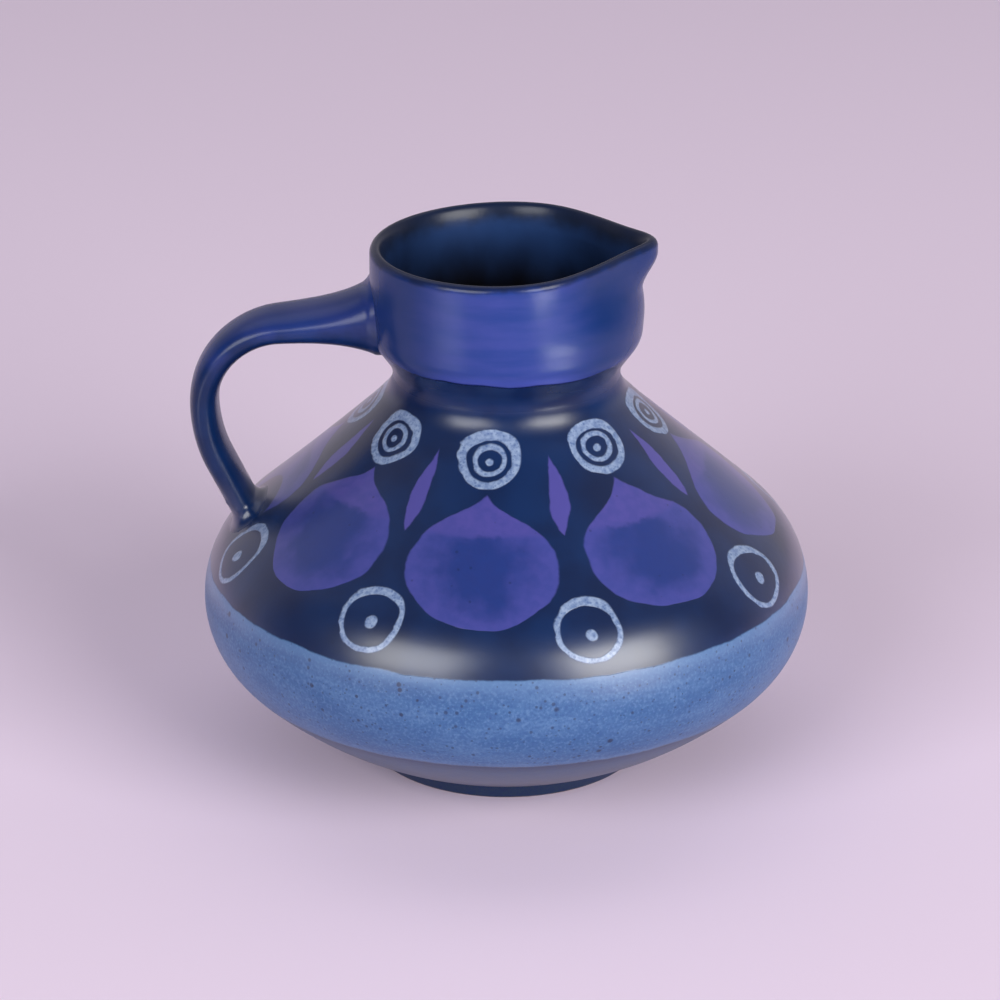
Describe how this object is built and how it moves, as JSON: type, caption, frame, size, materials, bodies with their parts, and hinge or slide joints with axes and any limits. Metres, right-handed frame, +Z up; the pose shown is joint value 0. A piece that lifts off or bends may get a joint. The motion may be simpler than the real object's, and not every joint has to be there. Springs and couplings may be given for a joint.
{
  "type": "jug",
  "caption": "Squat glazed stoneware jug with a pinched pouring lip, a strap handle and a low foot ring, for serving or display.",
  "frame": {"origin": "centre of the foot ring's standing face, on the axis of the thrown body", "axes": "+Z up along the axis of the thrown body; +X towards the pouring lip, so the handle stands at -X"},
  "size_m": [0.1626, 0.16, 0.142],
  "materials": {
    "foot_glaze": "satin dark navy glaze",
    "base_glaze": "satin grey blue glaze, thin over the clay",
    "band_glaze": "satin light blue glaze with dark specks",
    "shoulder_glaze": "satin navy glaze with violet petals and pale blue rings",
    "collar_glaze": "satin violet blue glaze, dark navy inside",
    "handle_glaze": "satin violet blue glaze that darkens downwards"
  },
  "bodies": {
    "root": {"foot_ring": "foot_glaze", "base": "base_glaze", "belly": "band_glaze", "shoulder": "shoulder_glaze", "collar": "collar_glaze", "handle": "handle_glaze"}
  },
  "joints": []
}
